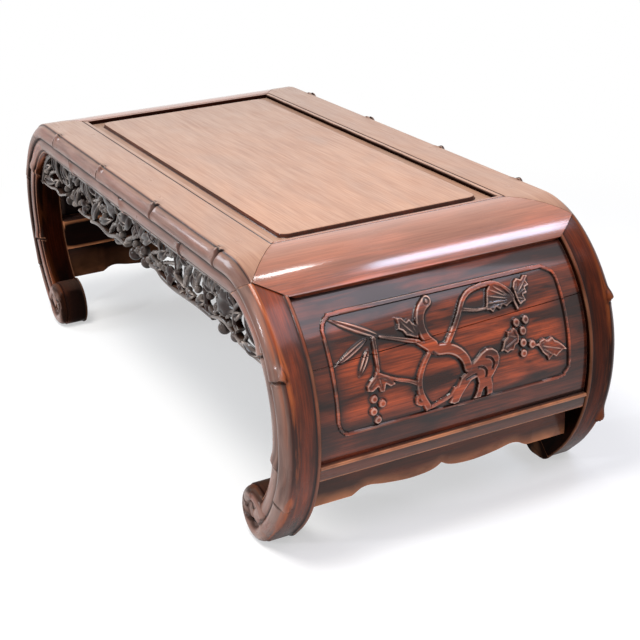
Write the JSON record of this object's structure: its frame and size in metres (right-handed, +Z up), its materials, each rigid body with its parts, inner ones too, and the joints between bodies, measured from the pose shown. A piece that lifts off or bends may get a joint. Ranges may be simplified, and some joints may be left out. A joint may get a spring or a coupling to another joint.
{
  "type": "kang table",
  "caption": "Low rectangular table with rolled ends, scrolled feet, bamboo-shaped mouldings, pierced long aprons and curved end boards.",
  "frame": {"origin": "centre of the table's footprint, on the floor", "axes": "+X along the length towards the right end, +Y across the table towards the back, +Z up"},
  "size_m": [0.951, 0.433, 0.33],
  "materials": {
    "top_wood": "polished lacquered rosewood, worn paler",
    "frame_wood": "polished lacquered rosewood",
    "leg_wood": "dark polished rosewood",
    "panel_wood": "dark polished rosewood, carved",
    "carved_wood": "near-black polished carving, worn paler on the edges",
    "inner_wood": "plain oiled wood"
  },
  "bodies": {
    "root": {"top_panel": "top_wood", "panel_batten_left": "inner_wood", "panel_batten_middle": "inner_wood", "panel_batten_right": "inner_wood", "long_rail_front": "frame_wood", "long_rail_back": "frame_wood", "end_rail_right": "frame_wood", "end_rail_left": "frame_wood", "leg_front_right": "leg_wood", "leg_front_left": "leg_wood", "leg_back_right": "leg_wood", "leg_back_left": "leg_wood", "end_panel_upper_right": "panel_wood", "end_panel_upper_left": "panel_wood", "end_panel_lower_right": "panel_wood", "end_panel_lower_left": "panel_wood", "bottom_rail_right": "leg_wood", "bottom_rail_left": "leg_wood", "end_apron_right": "leg_wood", "end_apron_left": "leg_wood", "pierced_apron_front": "carved_wood", "pierced_apron_back": "carved_wood"}
  },
  "joints": []
}
